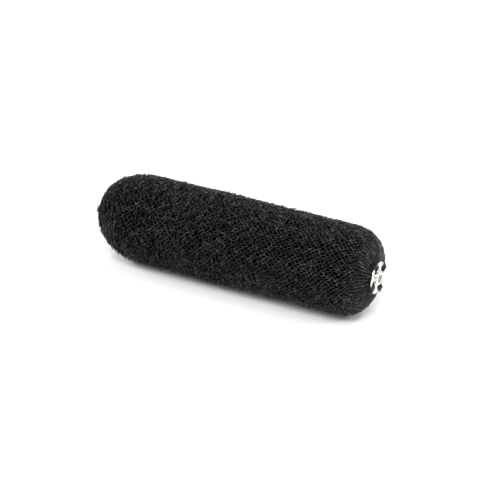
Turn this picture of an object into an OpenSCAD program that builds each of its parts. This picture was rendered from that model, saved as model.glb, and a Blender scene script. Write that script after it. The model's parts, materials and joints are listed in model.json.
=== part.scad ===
// Bun roll: a soft roll of knitted net with a sew-on snap fastener at each end.
// The roll lies along X on the plane z = 0. It bends sideways, about upright lines,
// until the stud at its -X end snaps into the socket at its +X end and it is a ring.

/* [Roll] */
// Diameter over the net cover
roll_d = 45; // [40:1:50]
// Length between the two planes where the snap halves meet, which is the ring's length
closing_length = 150; // [140:5:180]
// How far the underside flattens where the soft roll lies
lying_flat = 0.55; // [0.4:0.05:0.8]
// Thickness of the knitted net cover
cover_t = 1.6; // [1.4:0.1:2]
// Length of the rounded end under the socket
socket_end_depth = 17; // [14:0.5:20]
// Fullness of that end: 2 is an ellipse and more is squarer
socket_end_fullness = 2.5; // [2:0.1:3]
// Length of the rounded end under the stud
stud_end_depth = 26; // [20:0.5:28]
// Fullness of that end
stud_end_fullness = 2; // [2:0.1:3]
// Radius of the flat that the snap half pulls into each end
end_flat_r = 7; // [6.5:0.5:8]

/* [Bending] */
// Number of places where the roll bends, shared evenly along it
bends = 10; // [8:2:12]

/* [Snap fastener] */
// Diameter of each sew-on snap half
snap_d = 15.5; // [15:0.5:17]
// Radius of the socket's mouth
mouth_r = 2.05; // [2.02:0.01:2.1]
// Radius of the stud's head
head_r = 1.9; // [1.85:0.01:1.92]
// Gap left between the two halves when they are snapped together
closed_gap = 0.3; // [0.2:0.05:0.4]
// How far each half is turned about its axis, from its sewing holes being on the diagonals
snap_turn = -23; // [-45:1:45]

/* [Sewing thread] */
// Diameter of the sewing thread
thread_d = 0.6; // [0.5:0.05:0.65]
// Turns of thread through each sewing hole
turns = 4; // [1:1:4]

/* [Hidden] */
$fn = 96;

// Roll
roll_r = roll_d / 2;
axis_z = roll_r - lying_flat;          // height of the roll's axis over its resting plane
filling_gap = 0.1;                     // clearance between the cover and its filling
section_gap = 0.02;                    // clearance between neighbouring sections
section_l = closing_length / bends;    // distance between neighbouring bend lines
sections = bends + 1;
arc_steps = 12;                        // straight steps in each rounded end's outline

// Snap halves, measured outwards from the plane that faces the other half
snap_r = snap_d / 2;
sheet_t = 0.45;                        // sheet metal of the flanges
bead_r = 0.4;                          // rolled edge of each flange
cap_r = 3.6;                           // raised middle of both halves
cap_round = 0.6;
socket_flange_z = -1;
stud_flange_z = -0.5;
hole_in_r = 4.15;                      // sewing holes, four in each flange
hole_out_r = 6.25;
hole_half_angle = 16;
sewing_holes = 4;

// Inside the socket: the wire ring lies between the mouth's lip and the cup's rim
seat_gap = 0.05;                       // between pieces that are clenched together
wall_t = 0.45;
chamber_r = 2.65;
wire_d = 0.5;
spring_r = 1.85;                       // centre line of the wire
spring_z = -wall_t - seat_gap - wire_d / 2;
spring_open = 60;                      // degrees left open in the wire ring
cup_r = 2.15;
cup_top_z = spring_z - wire_d / 2 - seat_gap;
cup_floor_z = -2.3;
back_r = 3.3;
back_t = 0.35;
back_z = socket_flange_z - sheet_t - seat_gap;

// Stud
neck_r = 1.45;
neck_top_z = 1.3;
head_z = 1.45;
head_edge_z = 2.1;
stud_top_z = 2.45;
head_top_r = 1.3;
neck_hole_r = 1.55;
rivet_r = 2.6;
rivet_z = stud_flange_z - sheet_t - seat_gap;
rivet_t = 0.35;

// Places along the roll
meeting_x = closing_length / 2;
face_x = meeting_x - closed_gap / 2;
net_gap = 0.1;                         // between a flange's bead and the net under it
socket_pole_x = face_x + socket_flange_z - sheet_t / 2 - bead_r - net_gap;
stud_pole_x = -(face_x + stud_flange_z - sheet_t / 2 - bead_r - net_gap);
pocket_r = 4.9;                        // drawn-in hollow in the net behind each half
pocket_depth = 1.1;

// Threads, with heights from the middle of the flange's sheet
thread_r = thread_d / 2;
turn_pitch = thread_d + 0.02;
turn_in_r = 5.7;                       // goes down through the sewing hole here
turn_out_r = snap_r + thread_r + 0.05; // and down past the flange's edge here
turn_top_z = bead_r + thread_r + 0.02;
turn_bend_r = 0.45;
turn_foot_z = -1.9;                    // ends inside the net
closing_r = pocket_r;                  // thread that draws the net's end shut
closing_thread_r = 0.35;

function two_digits(i) = str(i < 10 ? "0" : "", i);
function names(stem) = [for (i = [1:sections]) str(stem, "_", two_digits(i))];

// ---- outlines ----

// Quarter of a superellipse from the side of the roll (turn = 0) to its end flat (turn = 90),
// as [radius, place along the roll]; dir is 1 at the socket end and -1 at the stud end.
function rounded_end(pole_x, depth, fullness, side_r, dir) = [
    for (k = [0:arc_steps])
        let (
            turn = 90 * (dir > 0 ? k : arc_steps - k) / arc_steps,
            out = pow(abs(cos(turn)), 2 / fullness),
            along = pow(sin(turn), 2 / fullness)
        )
        [end_flat_r + (side_r - end_flat_r) * out, pole_x - dir * depth * (1 - along)]
];

// Half outline of the roll, drawn inwards by inset.
function roll_outline(inset) = concat(
    [[0, stud_pole_x + inset]],
    rounded_end(stud_pole_x + inset, stud_end_depth, stud_end_fullness, roll_r - inset, -1),
    rounded_end(socket_pole_x - inset, socket_end_depth, socket_end_fullness, roll_r - inset, 1),
    [[0, socket_pole_x - inset]]
);

// Rolled edge of a flange whose front is at z, from its front round to its back.
function bead(z) = let (start = 180 - asin(sheet_t / 2 / bead_r)) [
    for (k = [0:8])
        let (turn = start - 2 * start * k / 8)
        [snap_r - bead_r + bead_r * cos(turn), z - sheet_t / 2 + bead_r * sin(turn)]
];

function cap_shoulder(z) = [
    for (turn = [90:-30:0])
        [cap_r - cap_round + cap_round * cos(turn), z - cap_round + cap_round * sin(turn)]
];

// ---- placing ----

module along_x() {
    translate([0, 0, axis_z]) rotate([0, 90, 0]) children();
}

module at_socket_end() {
    translate([face_x, 0, axis_z]) rotate([0, 90, 0]) children();
}

module at_stud_end() {
    translate([-face_x, 0, axis_z]) rotate([0, -90, 0]) children();
}

// ---- roll ----

module roll_solid(inset) {
    along_x() rotate_extrude() polygon(roll_outline(inset));
}

// The slab of space between bend line i - 1 and bend line i, from floor_z upwards.
module section_space(i, floor_z) {
    from_x = i == 1 ? -closing_length : -meeting_x + section_l * (i - 1.5) + section_gap / 2;
    to_x = i == sections ? closing_length : -meeting_x + section_l * (i - 0.5) - section_gap / 2;
    translate([from_x, -roll_d, floor_z]) cube([to_x - from_x, 2 * roll_d, 2 * roll_d]);
}

module end_pockets() {
    at_socket_end()
        translate([0, 0, socket_pole_x - face_x - pocket_depth]) cylinder(r = pocket_r, h = 2 * pocket_depth);
    at_stud_end()
        translate([0, 0, -stud_pole_x - face_x - pocket_depth]) cylinder(r = pocket_r, h = 2 * pocket_depth);
}

// Knitted net sleeve, drawn shut at both ends and flattened where it lies.
module cover(i) {
    color("#1c1b1b") intersection() {
        difference() {
            roll_solid(0);
            roll_solid(cover_t);
            end_pockets();
        }
        section_space(i, 0);
    }
}

// Springy net rolled up inside the cover.
module filling(i) {
    color("#0d0d0d") intersection() {
        roll_solid(cover_t + filling_gap);
        section_space(i, -roll_r);
    }
}

// ---- snap fastener ----

module sewing_hole() {
    mid_r = (hole_in_r + hole_out_r) / 2;
    half_w = (hole_out_r - hole_in_r) / 2;
    translate([0, 0, -3]) {
        rotate([0, 0, -hole_half_angle]) rotate_extrude(angle = 2 * hole_half_angle)
            translate([hole_in_r, 0]) square([hole_out_r - hole_in_r, 4]);
        for (side = [-1, 1])
            rotate([0, 0, side * hole_half_angle]) translate([mid_r, 0, 0]) cylinder(r = half_w, h = 4);
    }
}

module sewing_holes() {
    for (k = [1:sewing_holes])
        rotate([0, 0, snap_turn + 360 / sewing_holes * (k - 0.5)]) sewing_hole();
}

module socket_face() {
    color("#e6e4de") at_socket_end() difference() {
        rotate_extrude() polygon(concat(
            [[mouth_r, -wall_t], [mouth_r, 0]],
            cap_shoulder(0),
            [[cap_r, socket_flange_z]],
            bead(socket_flange_z),
            [[chamber_r, socket_flange_z - sheet_t], [chamber_r, -wall_t]]
        ));
        sewing_holes();
    }
}

module socket_back() {
    color("#c9c7c1") at_socket_end() rotate_extrude() polygon([
        [0, cup_floor_z], [cup_r, cup_floor_z], [cup_r, cup_top_z],
        [chamber_r - seat_gap, cup_top_z], [chamber_r - seat_gap, back_z], [back_r, back_z],
        [back_r, cup_floor_z - back_t], [0, cup_floor_z - back_t]
    ]);
}

// Ring of spring wire that closes behind the stud's head.
module socket_spring() {
    color("#b4b4b4") at_socket_end() rotate([0, 0, spring_open / 2])
        rotate_extrude(angle = 360 - spring_open)
            translate([spring_r, spring_z]) circle(r = wire_d / 2, $fn = 32);
}

module stud_face() {
    color("#e6e4de") at_stud_end() difference() {
        rotate_extrude() polygon(concat(
            [[neck_hole_r, 0], [cap_r - 0.3, 0], [cap_r, -0.3], [cap_r, stud_flange_z]],
            bead(stud_flange_z),
            [[neck_hole_r, stud_flange_z - sheet_t]]
        ));
        sewing_holes();
    }
}

module stud_post() {
    color("#d6d4ce") at_stud_end() rotate_extrude() polygon([
        [0, stud_top_z], [head_top_r, stud_top_z],
        [head_top_r + (head_r - head_top_r) * 0.7, stud_top_z - (stud_top_z - head_edge_z) * 0.35],
        [head_r, head_edge_z], [head_r, head_z], [neck_r, neck_top_z],
        [neck_r, rivet_z], [rivet_r, rivet_z], [rivet_r, rivet_z - rivet_t], [0, rivet_z - rivet_t]
    ]);
}

// ---- sewing ----

module thread_length(l) {
    cylinder(r = thread_r, h = l, $fn = 32);
}

// One turn of thread: up through the sewing hole, over the flange's edge and down into the net.
module thread_turn() {
    flat_l = turn_out_r - turn_in_r - 2 * turn_bend_r;
    bend_z = turn_top_z - turn_bend_r;
    for (x = [turn_in_r, turn_out_r])
        translate([x, 0, turn_foot_z]) thread_length(bend_z - turn_foot_z);
    translate([turn_in_r + turn_bend_r, 0, turn_top_z]) rotate([0, 90, 0]) thread_length(flat_l);
    for (side = [0, 1])
        translate([side ? turn_out_r - turn_bend_r : turn_in_r + turn_bend_r, 0, bend_z])
            rotate([90, 0, 0]) rotate([0, 0, side ? 0 : 90]) rotate_extrude(angle = 90)
                translate([turn_bend_r, 0]) circle(r = thread_r, $fn = 32);
}

module stitches(flange_z) {
    for (hole = [1:sewing_holes], turn = [1:turns])
        rotate([0, 0, snap_turn + 360 / sewing_holes * (hole - 0.5)])
            translate([0, turn_pitch * (turn - (turns + 1) / 2), flange_z - sheet_t / 2])
                thread_turn();
}

module socket_stitches() {
    color("#101010") at_socket_end() stitches(socket_flange_z);
}

module stud_stitches() {
    color("#101010") at_stud_end() stitches(stud_flange_z);
}

module closing_ring() {
    rotate_extrude() translate([closing_r, 0]) circle(r = closing_thread_r, $fn = 32);
}

module socket_closing_thread() {
    color("#101010") at_socket_end()
        translate([0, 0, socket_pole_x - face_x - pocket_depth / 2]) closing_ring();
}

module stud_closing_thread() {
    color("#101010") at_stud_end()
        translate([0, 0, -stud_pole_x - face_x - pocket_depth / 2]) closing_ring();
}

// ---- nodes ----

for (i = [1:sections]) {
    cover(i);
    filling(i);
}
socket_face();
socket_back();
socket_spring();
stud_face();
stud_post();
socket_stitches();
stud_stitches();
socket_closing_thread();
stud_closing_thread();
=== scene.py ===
import bmesh
import bpy
import json
import math
import numpy as np
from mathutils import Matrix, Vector


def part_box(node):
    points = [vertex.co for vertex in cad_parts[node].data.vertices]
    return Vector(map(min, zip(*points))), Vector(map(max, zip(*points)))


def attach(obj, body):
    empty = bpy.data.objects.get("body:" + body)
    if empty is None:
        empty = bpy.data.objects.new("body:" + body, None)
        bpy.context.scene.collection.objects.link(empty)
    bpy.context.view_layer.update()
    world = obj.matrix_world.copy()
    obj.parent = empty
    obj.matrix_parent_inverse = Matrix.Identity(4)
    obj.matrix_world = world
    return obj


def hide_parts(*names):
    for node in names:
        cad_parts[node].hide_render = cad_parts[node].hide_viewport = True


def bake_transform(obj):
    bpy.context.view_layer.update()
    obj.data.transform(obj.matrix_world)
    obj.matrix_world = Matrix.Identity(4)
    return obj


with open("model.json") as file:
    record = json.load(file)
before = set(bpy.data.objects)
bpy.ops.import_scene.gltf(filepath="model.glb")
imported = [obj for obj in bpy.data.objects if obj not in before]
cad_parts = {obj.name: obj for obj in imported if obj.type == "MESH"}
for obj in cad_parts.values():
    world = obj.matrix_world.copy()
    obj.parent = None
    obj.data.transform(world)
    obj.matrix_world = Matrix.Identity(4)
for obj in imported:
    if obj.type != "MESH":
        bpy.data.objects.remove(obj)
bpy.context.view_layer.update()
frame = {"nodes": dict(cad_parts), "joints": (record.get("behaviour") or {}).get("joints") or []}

mm = 0.001

# places that the frame gives
joints = sorted(frame["joints"], key=lambda joint: joint["pos_m"][0])
bendPlaces = [joint["pos_m"][0] for joint in joints]
bendPitch = bendPlaces[1] - bendPlaces[0]
sectionNames = ["section_%02d" % (i + 1) for i in range(len(joints) + 1)]
middleLow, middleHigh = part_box("cover_06")
rollRadius = (middleHigh.y - middleLow.y) / 2
axisHeight = middleHigh.z - rollRadius
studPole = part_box("cover_01")[0].x          # where the net ends flat behind each snap half
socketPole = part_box("cover_11")[1].x
snapRadius = (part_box("socket_face")[1].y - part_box("socket_face")[0].y) / 2
print("frame: roll radius %.2f mm, %d bends" % (rollRadius / mm, len(joints)))


def addObject(name, shape):
    made = bpy.data.objects.new(name, shape)
    bpy.context.scene.collection.objects.link(made)
    return made


def smoothShaded(shape):
    shape.polygons.foreach_set("use_smooth", np.ones(len(shape.polygons), dtype=bool))
    return shape


noiseTables = {}


def softNoise(points, seed):
    # smooth noise from -1 to 1 at each row of points, one lump per unit
    if seed not in noiseTables:
        noiseTables[seed] = np.random.default_rng(seed).random((32, 32, 32)) * 2 - 1
    table = noiseTables[seed]
    cell = np.floor(points).astype(int)
    part = points - cell
    part = part * part * (3 - 2 * part)
    total = np.zeros(points.shape[:-1])
    for corner in np.ndindex(2, 2, 2):
        weight = np.ones(points.shape[:-1])
        for axis in range(3):
            weight = weight * (part[..., axis] if corner[axis] else 1 - part[..., axis])
        index = (cell + np.array(corner)) % 32
        total += weight * table[index[..., 0], index[..., 1], index[..., 2]]
    return total


roll = {
    "studDepth": 26 * mm,         # how far each rounded end reaches along the roll
    "studFullness": 2.0,
    "socketDepth": 17 * mm,
    "socketFullness": 2.5,
    "flatRadius": 7 * mm,
    "gatherRadius": 4.7 * mm,     # where the closing thread draws the net in
    "gatherTuck": 0.7 * mm,
    "lumpHeight": 0.45 * mm,      # slow swellings of the soft body
    "lumpLength": 22 * mm,
    "lumpsAround": 1.3,
    "pleatHeight": 0.35 * mm,     # long shallow pleats along the roll
    "pleatLength": 38 * mm,
    "pleatsAround": 5.5,
    "swellsOver": 8 * mm,         # distance from the snap's edge over which they grow
    "floorSoftness": 0.25 * mm,
}


def roundedEnd(pole, depth, fullness, side, turns):
    # from the end flat to the side of the roll
    outward = roll["flatRadius"] + (rollRadius - roll["flatRadius"]) * np.cos(turns) ** (2 / fullness)
    along = pole - side * depth * (1 - np.sin(turns) ** (2 / fullness))
    return along, outward


def makeMeridian():
    # half outline of the roll from one gathered end to the other, and its length up to each point
    turns = np.linspace(math.pi / 2, 0, 60)
    studX, studR = roundedEnd(studPole, roll["studDepth"], roll["studFullness"], -1, turns)
    socketX, socketR = roundedEnd(socketPole, roll["socketDepth"], roll["socketFullness"], 1, turns)
    gather = [roll["gatherRadius"], roll["gatherRadius"] + 0.5 * mm]
    alongX = np.concatenate([[studPole + roll["gatherTuck"], studPole], studX,
                             socketX[::-1], [socketPole, socketPole - roll["gatherTuck"]]])
    outR = np.concatenate([gather, studR, socketR[::-1], gather[::-1]])
    length = np.concatenate([[0], np.cumsum(np.hypot(np.diff(alongX), np.diff(outR)))])
    even = np.linspace(0, length[-1], 500)
    alongX, outR = np.interp(even, length, alongX), np.interp(even, length, outR)
    soften = np.ones(7) / 7
    inner = slice(3, -3)
    alongX[inner] = np.convolve(alongX, soften, "valid")
    outR[inner] = np.convolve(outR, soften, "valid")
    slopeX, slopeR = np.gradient(alongX, even), np.gradient(outR, even)
    size = np.hypot(slopeX, slopeR)
    return even, alongX, outR, -slopeR / size, slopeX / size


meridian = makeMeridian()
netLength = meridian[0][-1]


def swelling(x, angle):
    # how far the soft body stands out of its plain outline
    across, up = np.cos(angle), np.sin(angle)
    lumpy, pleated = roll["lumpsAround"], roll["pleatsAround"]
    lumps = softNoise(np.stack([x / roll["lumpLength"], lumpy * across, lumpy * up], -1) + 5.3, 3)
    pleats = softNoise(np.stack([x / roll["pleatLength"], pleated * across, pleated * up], -1) + 9.1, 4)
    return roll["lumpHeight"] * lumps + roll["pleatHeight"] * pleats


def rollPoint(s, angle, depth):
    # place on the net, s along the meridian, angle round the roll, depth under its outside
    x = np.interp(s, meridian[0], meridian[1])
    outward = np.interp(s, meridian[0], meridian[2])
    normalX = np.interp(s, meridian[0], meridian[3])
    normalR = np.interp(s, meridian[0], meridian[4])
    clearOfSnap = np.clip((outward - snapRadius) / roll["swellsOver"], 0, 1)
    lift = swelling(x, angle) * clearOfSnap - depth
    x = x + normalX * lift
    outward = outward + normalR * lift
    return np.stack([x, outward * np.cos(angle), axisHeight + outward * np.sin(angle)], -1)


def settle(points, lowest):
    # the soft underside flattens on the floor, with its lowest points at lowest
    soft = roll["floorSoftness"]
    over = (points[..., 2] - lowest) / soft
    points[..., 2] = lowest + soft * np.logaddexp(0, over)
    return points


class Value:
    # a shader socket that sums can be written with
    def __init__(self, finish, socket):
        self.finish = finish
        self.socket = socket

    def math(self, operation, first, second=0.0):
        return self.finish.node("Math", {"operation": operation}, {0: first, 1: second})

    def __add__(self, other):
        return self.math("ADD", self, other)

    def __sub__(self, other):
        return self.math("SUBTRACT", self, other)

    def __rsub__(self, other):
        return self.math("SUBTRACT", other, self)

    def __mul__(self, other):
        return self.math("MULTIPLY", self, other)

    def __pow__(self, other):
        return self.math("POWER", self, other)

    __radd__ = __add__
    __rmul__ = __mul__


class Finish:
    # one material, whose nodes are added by one method
    def __init__(self, name, **constants):
        self.material = bpy.data.materials.new(name)
        self.material.use_nodes = True
        self.tree = self.material.node_tree
        self.shader = self.tree.nodes["Principled BSDF"]
        for socket, value in constants.items():
            self.shader.inputs[socket.replace("_", " ")].default_value = value

    def node(self, kind, settings={}, inputs={}, output=0):
        made = self.tree.nodes.new("ShaderNode" + kind)
        for key, value in settings.items():
            if key == "stops":
                self.setStops(made.color_ramp, value)
            else:
                setattr(made, key, value)
        for key, value in inputs.items():
            self.give(made.inputs[key], value)
        return Value(self, made.outputs[output])

    def give(self, socket, value):
        if isinstance(value, Value):
            self.tree.links.new(value.socket, socket)
        else:
            socket.default_value = value

    def setStops(self, ramp, stops):
        while len(ramp.elements) < len(stops):
            ramp.elements.new(1.0)
        for element, (place, shade) in zip(ramp.elements, stops):
            element.position = place
            element.color = (shade, shade, shade, 1)

    def drive(self, socket, value):
        self.give(self.shader.inputs[socket], value)

    def place(self):
        return self.node("TexCoord", output="Object")

    def stretched(self, vector, scale):
        return self.node("Mapping", {}, {"Vector": vector, "Scale": scale})

    def noise(self, vector, scale, detail=2.0, roughness=0.5):
        inputs = {"Vector": vector, "Scale": scale, "Detail": detail, "Roughness": roughness}
        return self.node("TexNoise", {}, inputs)

    def spread(self, value, low, high):
        # 0 at low and below, 1 at high and above
        return self.node("ValToRGB", {"stops": [(low, 0.0), (high, 1.0)]}, {"Fac": value})

    def blendColour(self, mask, first, second):
        settings = {"data_type": "RGBA"}
        return self.node("Mix", settings, {0: mask, 6: (*first, 1), 7: (*second, 1)}, 2)

    def bump(self, height, strength, distance):
        inputs = {"Height": height, "Strength": strength, "Distance": distance}
        self.drive("Normal", self.node("Bump", {}, inputs))


def yarnFinish(name, dark, paleToneAndHighlight, gloss):
    # crimped nylon yarn, two plies twisted together, with some loops painted paler than others, partly as
    # the yarn's random tone and partly as painted highlights where loops catch the lamps
    finish = Finish(name, Specular_IOR_Level=gloss)
    yarnMap = finish.node("UVMap", {"uv_map": "yarn"})
    along = finish.node("SeparateXYZ", {}, {0: yarnMap}, 0)
    around = finish.node("SeparateXYZ", {}, {0: yarnMap}, 1)
    turns = (along * 0.9 + around) * (2 * math.pi)
    ply = finish.node("Math", {"operation": "SINE"}, {0: turns}) * 0.5 + 0.5
    fibres = finish.noise(finish.stretched(yarnMap, (4.0, 9.0, 1.0)), 3.0, 3.0, 0.6)
    loops = finish.noise(finish.place(), 420.0, 1.0)
    patches = finish.noise(finish.place(), 70.0, 2.0)
    # paler loops: partly random tone, partly painted highlights, squared so that only a few loops are bright
    shade = finish.spread(loops * 0.7 + patches * 0.1 + ply * 0.1 + fibres * 0.1, 0.36, 0.68)
    finish.drive("Base Color", finish.blendColour(shade ** 2.0, dark, paleToneAndHighlight))
    finish.drive("Roughness", 0.26 + fibres * 0.2)
    finish.bump(ply * 0.7 + fibres * 0.3, 0.5, 0.05 * mm)
    return finish.material


def fillingFinish():
    # deep rolled-up net, painted nearly black as painted shade deep inside the roll, darkest in the holes
    # between its loops and between its creases
    finish = Finish("shadedRolledNet", Specular_IOR_Level=0.0)
    place = finish.place()
    creasesAndShade = finish.noise(finish.stretched(place, (1.0, 2.4, 2.4)), 260.0, 3.0, 0.6)
    loops = finish.node("TexVoronoi", {"feature": "DISTANCE_TO_EDGE"}, {"Vector": place, "Scale": 620.0})
    mesh = 1 - finish.spread(loops, 0.02, 0.2)
    # painted shade: the holes between the loops and the low parts of the creases are darkest
    shade = mesh * finish.spread(creasesAndShade, 0.35, 0.75)
    finish.drive("Base Color", finish.blendColour(shade, (0.0004, 0.0004, 0.0004), (0.002, 0.0019, 0.0019)))
    finish.drive("Roughness", 0.95 - shade * 0.2)
    finish.bump(mesh * 0.5 + creasesAndShade * 0.5, 0.6, 0.4 * mm)
    return finish.material


def metalFinish(name, worn, bright, scratchScale, roughest):
    # plated pressing with rubbed patches, hairline scratches and a slight orange peel
    finish = Finish(name, Metallic=1.0)
    place = finish.place()
    hairlines = finish.noise(finish.stretched(place, (1.0, 9.0, 0.6)), scratchScale, 4.0, 0.7)
    rubbed = finish.noise(place, 330.0, 3.0, 0.55)
    peel = finish.noise(place, 1500.0, 1.0)
    patches = finish.spread(rubbed, 0.38, 0.66)
    finish.drive("Base Color", finish.blendColour(patches, worn, bright))
    finish.drive("Roughness", 0.1 + (1 - patches) * roughest + finish.spread(hairlines, 0.55, 0.8) * 0.12)
    finish.bump(hairlines * 0.3 + peel * 0.7, 0.12, 0.03 * mm)
    return finish.material


def threadFinish():
    # black polyester sewing thread, with fibres along each ply and a dull sheen
    finish = Finish("blackSewingThread", Specular_IOR_Level=0.35, Sheen_Weight=0.15, Sheen_Roughness=0.4)
    place = finish.place()
    fibres = finish.noise(finish.stretched(place, (0.5, 1.0, 1.0)), 5200.0, 3.0, 0.65)
    fuzz = finish.noise(place, 900.0, 2.0)
    shade = finish.spread(fibres * 0.6 + fuzz * 0.4, 0.4, 0.65)
    finish.drive("Base Color", finish.blendColour(shade, (0.004, 0.004, 0.004), (0.022, 0.021, 0.021)))
    finish.drive("Roughness", 0.45 + fuzz * 0.25)
    finish.bump(fibres, 0.5, 0.03 * mm)
    return finish.material


outerNet = {
    "name": "outer_net",
    "wales": 58,                  # columns of loops round the roll, an even number
    "coursePitch": 1.32 * mm,     # rows of loops along the roll
    "courseShift": 0.5,           # how far each second row is turned, in wale widths
    "yarnRadius": 0.115 * mm,
    "cutAround": 0.56,            # assumed cut size, as a share of the size it's stretched to
    "cutAlong": 0.79,
    "depth": 1.1 * mm,            # yarn centre under the roll's outside
    "loopHeight": 0.79 * mm,
    "loopLean": 0.05,             # how far a loop's head bulges, in wale widths
    "gatherPinch": 0.16,          # how far its two legs are drawn together near the ends
    "pairing": 0.75,              # how far each two wales are drawn together beside the snap halves
    "pairDepth": 0.5 * mm,        # and how far the net sinks between them
    "pairedFrom": 15 * mm,        # radius under which that starts
    "pairedOver": 5 * mm,
    "crimp": 0.28 * mm,           # how far heads stand out and feet sink in
    "leastCrimp": 0.3,            # share of it that is left where the loops lie neatly
    "standing": 0.36 * mm,        # how far single loops stand off the net, on average
    "tallest": 1.0 * mm,
    "heightSpread": 0.22,
    "sideSpread": 0.16,           # in wale widths
    "twist": 0.05,
    "courseSpread": 0.2 * mm,
    "stray": 0.75 * mm,           # how unevenly neighbouring loops lie
    "strayLength": 2.1 * mm,
    "drift": 0.8 * mm,            # and how far whole patches wander
    "driftLength": 9 * mm,
    "looseness": [1.15, 0.65],    # share of all that at the stud end and at the socket end
    "leastLoose": 0.08,           # and where the loops lie neatly
    "ribbedFrom": [15 * mm, 21.5 * mm],    # radius under which the loops line up in ribs, at each end
    "ribbedOver": 4.5 * mm,
    "neatUnder": [7.5 * mm, 11 * mm],      # radius under which they all lie neatly, at each end
    "looseOver": [6 * mm, 10.5 * mm],
    "pressed": 0.25,              # share of the depth that is left behind the snap halves
    "pressedOver": [8.5 * mm, 14 * mm],
    "seed": 11,
}

middleNet = {
    **outerNet,
    "name": "middle_net",
    "wales": 56,
    "depth": 1.65 * mm,
    "twist": -0.3,
    "seed": 23,
}

innerNet = {
    **outerNet,
    "name": "inner_net",
    "wales": 54,
    "depth": 2.35 * mm,
    "twist": 0.45,
    "seed": 31,
}

pointsPerLoop = 8
yarnSides = 4
mapPerLoop = 5.0                  # how far the yarn's map runs along one loop


def knitLayer(net):
    # every course of the net as a row of points round the roll, and the place of each course
    rng = np.random.default_rng(net["seed"])
    courses = int(netLength / net["coursePitch"])
    wales = net["wales"]
    place = (np.arange(courses) + 0.5) * netLength / courses
    turn = np.arange(wales * pointsPerLoop) / pointsPerLoop          # in wales
    phase = 2 * math.pi * turn[None, :]
    waleWidth = 2 * math.pi / wales

    def perLoop(spread, longTail=False):
        # one random value for each loop, joined smoothly to the next
        if longTail:
            values = rng.exponential(spread, (courses, wales))
        else:
            values = rng.normal(0, spread, (courses, wales))
        share = (turn % 1)[None, :]
        blend = share * share * (3 - 2 * share)
        here = np.repeat(values, pointsPerLoop, 1)
        following = np.repeat(np.roll(values, -1, 1), pointsPerLoop, 1)
        return here * (1 - blend) + following * blend

    # near the gathered ends the loops line up in ribs, and away from them they lie unevenly,
    # most of all towards the stud
    middle = np.interp(place, meridian[0], meridian[2])[:, None]
    along = np.interp(place, meridian[0], meridian[1])[:, None]

    def byEnd(values):
        return np.interp(along, [studPole, socketPole], values)

    ribbed = np.clip((byEnd(net["ribbedFrom"]) - middle) / net["ribbedOver"], 0, 1)
    paired = np.clip((net["pairedFrom"] - middle) / net["pairedOver"], 0, 1)
    loose = np.clip((middle - byEnd(net["neatUnder"])) / byEnd(net["looseOver"]), net["leastLoose"], 1)
    loose = loose * byEnd(net["looseness"])
    height = net["loopHeight"] * (1 + loose * perLoop(net["heightSpread"]))
    s = place[:, None] + height * np.cos(phase)
    shift = net["courseShift"] * (1 - ribbed) * (np.arange(courses) % 2)[:, None]
    lean = net["loopLean"] * np.sin(2 * phase) - net["gatherPinch"] * ribbed * np.sin(phase)
    lean = lean + net["pairing"] * paired * np.cos(phase / 2) / math.pi
    angle = (turn[None, :] + shift + lean + loose * perLoop(net["sideSpread"])) * waleWidth
    angle = angle + net["twist"] * s / netLength - math.pi / 2
    crimp = net["crimp"] * (net["leastCrimp"] + (1 - net["leastCrimp"]) * np.minimum(loose, 1))
    upright = loose * np.minimum(perLoop(net["standing"], longTail=True), net["tallest"])
    depth = net["depth"] * np.interp(middle, net["pressedOver"], [net["pressed"], 1])
    depth = depth - crimp * np.cos(phase) - upright * (0.5 + 0.5 * np.cos(phase))
    depth = depth + net["pairDepth"] * paired * (0.5 - 0.5 * np.sin(phase / 2))

    x = np.interp(s, meridian[0], meridian[1])
    outward = np.interp(s, meridian[0], meridian[2])
    ring = np.stack([x, outward * np.cos(angle), outward * np.sin(angle)], -1)
    near, far = ring / net["strayLength"], ring / net["driftLength"]
    stray, drift = loose * net["stray"], loose * net["drift"]
    s = s + stray * softNoise(near, net["seed"] + 1) + drift * softNoise(far, net["seed"] + 2)
    s = s + loose * perLoop(net["courseSpread"])
    side = stray * softNoise(near, net["seed"] + 3) + drift * softNoise(far, net["seed"] + 4)
    angle = angle + side / np.maximum(outward, 6 * mm)
    depth = depth + 0.2 * stray * softNoise(near, net["seed"] + 5)
    s = np.clip(s, 0, netLength)
    points = settle(rollPoint(s, angle, depth), net["yarnRadius"] + net["depth"] * 0.5)
    return points, np.interp(place, meridian[0], meridian[1])


def yarnObject(name, rows, radius):
    # closed tubes of yarn along rows of points, as one mesh whose map runs along and round the yarn
    curve = bpy.data.curves.new(name, "CURVE")
    curve.dimensions = "3D"
    curve.bevel_depth = radius
    curve.bevel_resolution = (yarnSides - 4) // 2
    curve.twist_mode = "Z_UP"
    for row in rows:
        spline = curve.splines.new("POLY")
        spline.points.add(len(row) - 1)
        spline.points.foreach_set("co", np.c_[row, np.ones(len(row))].ravel())
        spline.use_cyclic_u = True
    holder = addObject(name + "_curve", curve)
    shape = bpy.data.meshes.new_from_object(holder.evaluated_get(bpy.context.evaluated_depsgraph_get()))
    bpy.data.objects.remove(holder)
    shape.name = name
    corners = np.empty(len(shape.loops), dtype=np.int64)
    shape.loops.foreach_get("vertex_index", corners)
    corners = corners.reshape(-1, 4)
    ring = corners // yarnSides % len(rows[0])
    side = corners % yarnSides
    ring = ring + len(rows[0]) * ((np.ptp(ring, axis=1, keepdims=True) > 1) & (ring == 0))
    side = side + yarnSides * ((np.ptp(side, axis=1, keepdims=True) > 1) & (side == 0))
    places = np.stack([ring / pointsPerLoop * mapPerLoop, side / yarnSides], -1)
    shape.uv_layers.new(name="yarn").data.foreach_set("uv", places.ravel())
    return addObject(name, smoothShaded(shape))


def bendWithRoll(piece):
    # piece k crosses bend k, from the middle of one section to the middle of the next; only its placement is
    # baked into its points, nothing here bends it
    half = Vector((bendPitch / 2, 0, 0))
    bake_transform(piece)


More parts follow.
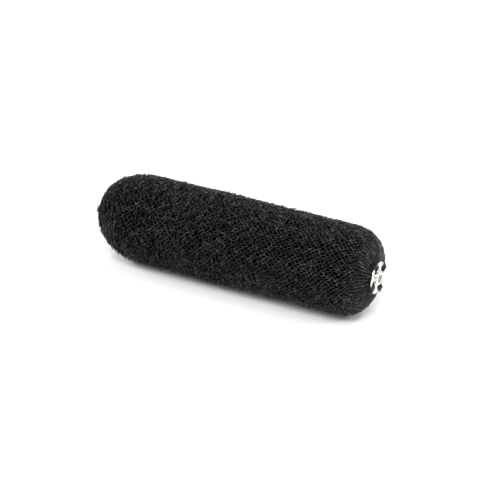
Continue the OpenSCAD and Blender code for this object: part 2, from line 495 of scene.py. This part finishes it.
def bendOf(x):
    # the bend that a place along the roll belongs to
    return int(np.clip(round((x - bendPlaces[0]) / bendPitch), 0, len(joints) - 1))


def coveredNodes(stem, k):
    # each piece stands for the CAD section on its lower side, and the last one for the end too
    named = ["%s_%02d" % (stem, k + 1)]
    if k == len(joints) - 1:
        named.append("%s_%02d" % (stem, k + 2))
    return named


def makeNet(net, material):
    rows, places = knitLayer(net)
    made = []
    for k in range(len(joints)):
        own = [row for row, x in zip(rows, places) if bendOf(x) == k]
        piece = yarnObject("%s_%02d" % (net["name"], k + 1), own, net["yarnRadius"])
        piece.data.materials.append(material)
        bendWithRoll(piece)
        made.append(piece)
    print("%s: %d courses of %d loops" % (net["name"], len(rows), net["wales"]))
    return made


outerFinish = yarnFinish("blackNylonYarn", (0.006, 0.0058, 0.0057), (0.165, 0.159, 0.153), 0.42)
# the middle and inner layers are the same nylon yarn, painted darker and less glossy as painted shade deep
# inside the net
middleShadedFinish = yarnFinish("shadedNylonYarn", (0.0005, 0.0005, 0.0005), (0.003, 0.0029, 0.0028), 0.01)
innerShadedFinish = yarnFinish("deepShadedNylonYarn", (0.0003, 0.0003, 0.0003), (0.001, 0.001, 0.001), 0.0)
outerPieces = makeNet(outerNet, outerFinish)
makeNet(middleNet, middleShadedFinish)
makeNet(innerNet, innerShadedFinish)
for k, piece in enumerate(outerPieces):
    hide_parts(*coveredNodes("cover", k))


core = {
    "depth": 3.1 * mm,
    "around": 96,
    "along": 13,
    "rumple": 0.35 * mm,
    "rumpleLength": 2.6 * mm,
    "seed": 37,
}


def makeCore(material):
    # the rolled-up filling, one closed piece for each bend
    between = [x + bendPitch / 2 for x in bendPlaces[:-1]]
    ends = [studPole + core["depth"], *between, socketPole - core["depth"]]
    for k in range(len(joints)):
        bm = bmesh.new()
        bmesh.ops.create_cone(bm, cap_ends=True, cap_tris=False, segments=core["around"],
                              radius1=1, radius2=1, depth=1)
        lengthwise = [edge for edge in bm.edges if abs(edge.verts[0].co.z - edge.verts[1].co.z) > 0.5]
        bmesh.ops.subdivide_edges(bm, edges=lengthwise, cuts=core["along"] - 1, use_grid_fill=True)
        caps = [face for face in bm.faces if len(face.verts) > 4]
        bmesh.ops.poke(bm, faces=caps)
        unit = np.array([vertex.co for vertex in bm.verts])
        share = unit[:, 2] + 0.5
        fromS, toS = np.interp([ends[k], ends[k + 1]], meridian[1], meridian[0])
        s = fromS + (toS - fromS) * share
        angle = np.arctan2(unit[:, 1], unit[:, 0])
        ring = rollPoint(s, angle, core["depth"])
        rumple = softNoise(ring / core["rumpleLength"], core["seed"]) * core["rumple"]
        ring = settle(rollPoint(s, angle, core["depth"] + rumple), core["depth"])
        middle = np.hypot(unit[:, 0], unit[:, 1]) < 0.5
        ring[middle, 1] = 0
        ring[middle, 2] = axisHeight
        for vertex, point in zip(bm.verts, ring):
            vertex.co = point
        bmesh.ops.recalc_face_normals(bm, faces=bm.faces)
        name = "filling_roll_%02d" % (k + 1)
        shape = bpy.data.meshes.new(name)
        bm.to_mesh(shape)
        bm.free()
        piece = addObject(name, smoothShaded(shape))
        piece.data.materials.append(material)
        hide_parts(*coveredNodes("filling", k))
        bendWithRoll(piece)
    print("filling: %d pieces" % len(joints))


makeCore(fillingFinish())

snapMetals = {
    "socket_face": metalFinish("brightNickel", (0.62, 0.6, 0.56), (0.9, 0.885, 0.85), 900.0, 0.2),
    "socket_back": metalFinish("innerNickel", (0.72, 0.7, 0.66), (0.93, 0.915, 0.88), 700.0, 0.25),
    "socket_spring": metalFinish("drawnSpringWire", (0.6, 0.6, 0.59), (0.82, 0.82, 0.81), 1600.0, 0.2),
}
snapMetals["stud_face"] = snapMetals["socket_face"]
snapMetals["stud_post"] = snapMetals["socket_face"]
for name, material in snapMetals.items():
    metalNode = frame["nodes"][name]
    metalNode.data.materials.clear()
    metalNode.data.materials.append(material)
print("snap: %d metal pieces finished" % len(snapMetals))


sewing = {
    "holes": 4,
    "halfTurn": -23.0,            # degrees that each half is turned from its holes being on the diagonals
    "turns": 4,                   # turns of thread through each hole
    "threadRadius": 0.3 * mm,
    "plies": 2,
    "plyPitch": 1.5 * mm,
    "plySides": 6,
    "plyCentre": 0.48,            # shares of the thread's radius
    "plyRadius": 0.52,
    "plyStart": 0.9,              # radians that each next turn's plies are wound further
    "inR": 5.7 * mm,              # up through the hole here
    "outR": 8.1 * mm,             # and down past the flange's edge here
    "spacing": 0.62 * mm,
    "bendR": 0.45 * mm,
    "top": 0.72 * mm,             # over the middle of the flange's sheet
    "foot": -1.9 * mm,
    "fan": 0.22 * mm,             # how far the turns spread towards the edge
    "slant": 0.2 * mm,            # how far they splay on the way down
    "fanSpread": 0.05 * mm,       # and how unevenly they lie
    "inSpread": 0.3 * mm,
    "outSpread": [-0.02 * mm, 0.25 * mm],
    "topSpread": 0.03 * mm,
    "socketSheet": -1.225 * mm,   # middle of each flange's sheet, from the front of its half
    "studSheet": -0.725 * mm,
    "step": 0.16 * mm,
    "seed": 53,
}


def roundedPath(corners, radius, step):
    # evenly spaced points along straight lines whose inner corners are rounded
    points = [corners[0]]
    for before, corner, after in zip(corners, corners[1:], corners[2:]):
        start = corner + (before - corner).normalized() * radius
        end = corner + (after - corner).normalized() * radius
        for share in np.linspace(0, 1, 7):
            points.append(start.lerp(corner, share).lerp(corner.lerp(end, share), share))
    points.append(corners[-1])
    points = np.array(points)
    length = np.concatenate([[0], np.cumsum(np.linalg.norm(np.diff(points, axis=0), axis=1))])
    even = np.linspace(0, length[-1], max(8, int(length[-1] / step)))
    return np.stack([np.interp(even, length, points[:, i]) for i in range(3)], -1)


def plyPaths(path, closed, start):
    # the plies of one thread, wound round its path
    along = np.gradient(path, axis=0)
    if closed:
        along = np.roll(path, -1, 0) - np.roll(path, 1, 0)
    along /= np.linalg.norm(along, axis=1, keepdims=True)
    side = np.cross(along, np.array([0.31, 0.52, 0.79]))
    side /= np.linalg.norm(side, axis=1, keepdims=True)
    other = np.cross(along, side)
    length = np.concatenate([[0], np.cumsum(np.linalg.norm(np.diff(path, axis=0), axis=1))])
    turns = length / sewing["plyPitch"]
    if closed:
        turns = np.arange(len(path)) / len(path) * round(length[-1] / sewing["plyPitch"])
    paths = []
    for ply in range(sewing["plies"]):
        angle = 2 * math.pi * (turns + ply / sewing["plies"]) + start
        offset = side * np.cos(angle)[:, None] + other * np.sin(angle)[:, None]
        paths.append(path + offset * sewing["threadRadius"] * sewing["plyCentre"])
    return paths


def threadObject(name, paths, closed):
    curve = bpy.data.curves.new(name, "CURVE")
    curve.dimensions = "3D"
    curve.bevel_depth = sewing["threadRadius"] * sewing["plyRadius"]
    curve.bevel_resolution = (sewing["plySides"] - 4) // 2
    curve.use_fill_caps = True
    for i, path in enumerate(paths):
        for row in plyPaths(path, closed, i * sewing["plyStart"]):
            spline = curve.splines.new("POLY")
            spline.points.add(len(row) - 1)
            spline.points.foreach_set("co", np.c_[row, np.ones(len(row))].ravel())
            spline.use_cyclic_u = closed
    holder = addObject(name + "_curve", curve)
    shape = bpy.data.meshes.new_from_object(holder.evaluated_get(bpy.context.evaluated_depsgraph_get()))
    bpy.data.objects.remove(holder)
    shape.name = name
    piece = addObject(name, smoothShaded(shape))
    piece.data.materials.append(threadMaterial)
    return piece


def sewHalf(name, face, outward, sheet, body):
    # four bundles of turns that hold one snap half to the net
    rng = np.random.default_rng(sewing["seed"])
    paths = []
    for hole in range(sewing["holes"]):
        around = 2 * math.pi * (hole + 0.5) / sewing["holes"] + outward * math.radians(sewing["halfTurn"])
        radial = Vector((0, math.cos(around), math.sin(around)))
        across = Vector((0, -math.sin(around), math.cos(around)))
        front = Vector((outward, 0, 0))
        middle = Vector((face + outward * sheet, 0, axisHeight))
        for turn in range(sewing["turns"]):
            place = turn - (sewing["turns"] - 1) / 2
            aside = sewing["spacing"] * place
            fanned = aside + sewing["fan"] * place + rng.normal(0, sewing["fanSpread"])
            inR = sewing["inR"] - rng.uniform(0, sewing["inSpread"])
            outR = sewing["outR"] + rng.uniform(*sewing["outSpread"])
            top = sewing["top"] + rng.uniform(-sewing["topSpread"], sewing["topSpread"])
            corners = [
                middle + radial * inR + across * aside + front * sewing["foot"],
                middle + radial * inR + across * aside + front * top,
                middle + radial * outR + across * fanned + front * top,
                middle + radial * (outR + sewing["slant"]) + across * fanned + front * sewing["foot"],
            ]
            paths.append(roundedPath(corners, sewing["bendR"], sewing["step"]))
    piece = threadObject(name + "_sewing", paths, False)
    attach(piece, body)
    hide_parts(name + "_stitches")


def closeEnd(name, body):
    # the thread that draws the net shut behind one snap half
    low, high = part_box(name + "_closing_thread")
    radius = (high.y - low.y) / 2 - sewing["threadRadius"]
    angle = np.linspace(0, 2 * math.pi, 120, endpoint=False)
    along = np.full(120, (low.x + high.x) / 2)
    ring = np.stack([along, radius * np.cos(angle), axisHeight + radius * np.sin(angle)], -1)
    piece = threadObject(name + "_drawn_thread", [ring], True)
    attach(piece, body)
    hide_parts(name + "_closing_thread")


threadMaterial = threadFinish()
sewHalf("socket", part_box("socket_face")[1].x, 1, sewing["socketSheet"], sectionNames[-1])
sewHalf("stud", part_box("stud_face")[0].x, -1, sewing["studSheet"], sectionNames[0])
closeEnd("socket", sectionNames[-1])
closeEnd("stud", sectionNames[0])
print("sewing: %d turns of thread on each half" % (sewing["holes"] * sewing["turns"]))


studio = {
    "keyPlace": (0.35, -0.75, 1.1),
    "keyPower": 8.0,
    "sidePlaces": [(1.1, 0.1, 0.8), (-1.1, -0.3, 0.8), (0.5, 0.9, 0.9), (-0.5, 0.9, 0.9), (-0.4, -0.9, 0.9)],
    "sidePower": 5.0,
    "lampSize": 0.4,
    "worldStrength": 0.65,
    "floorShade": 0.93,
    "floorSize": 3.0,
}

view = {
    "azimuth": 28.35,
    "elevation": 28.6,
    "distance": 0.87,
    "lens": 130.5,
    "aimHeight": 0.022,
    "shiftX": 0.0246,
    "shiftY": -0.0171,
}


def aim(thing, place, target):
    thing.location = place
    thing.rotation_euler = (Vector(target) - Vector(place)).to_track_quat("-Z", "Y").to_euler()


def softLamp(name, place, power):
    lamp = bpy.data.lights.new(name, "AREA")
    lamp.shape = "DISK"
    lamp.size = studio["lampSize"]
    lamp.energy = power
    aim(addObject(name, lamp), place, (0, 0, 0))


def makeFloor():
    finish = Finish("paleFloor", Specular_IOR_Level=0.1, Roughness=0.9)
    mottled = finish.noise(finish.place(), 3.0)
    shade = studio["floorShade"]
    finish.drive("Base Color", finish.blendColour(mottled, (shade,) * 3, (shade + 0.01,) * 3))
    bm = bmesh.new()
    bmesh.ops.create_grid(bm, x_segments=1, y_segments=1, size=studio["floorSize"])
    shape = bpy.data.meshes.new("floor")
    bm.to_mesh(shape)
    bm.free()
    shape.materials.append(finish.material)
    addObject("floor", shape)


def makeCamera():
    azimuth, elevation = math.radians(view["azimuth"]), math.radians(view["elevation"])
    level = math.cos(elevation)
    back = Vector((math.sin(azimuth) * level, -math.cos(azimuth) * level, math.sin(elevation)))
    target = Vector((0, 0, view["aimHeight"]))
    camera = bpy.data.cameras.new("camera")
    camera.lens = view["lens"]
    camera.sensor_width = 36
    camera.shift_x = view["shiftX"]
    camera.shift_y = view["shiftY"]
    camera.clip_start = 0.01
    made = addObject("camera", camera)
    aim(made, target + back * view["distance"], target)
    bpy.context.scene.camera = made


makeFloor()
world = bpy.data.worlds.new("studio")
world.use_nodes = True
world.node_tree.nodes["Background"].inputs["Color"].default_value = (1, 1, 1, 1)
world.node_tree.nodes["Background"].inputs["Strength"].default_value = studio["worldStrength"]
bpy.context.scene.world = world
softLamp("key", studio["keyPlace"], studio["keyPower"])
for i, place in enumerate(studio["sidePlaces"]):
    softLamp("lamp_%d" % (i + 1), place, studio["sidePower"])
makeCamera()
bpy.context.scene.view_settings.view_transform = "Standard"
print("studio: floor, %d soft lamps and the camera" % (len(studio["sidePlaces"]) + 1))
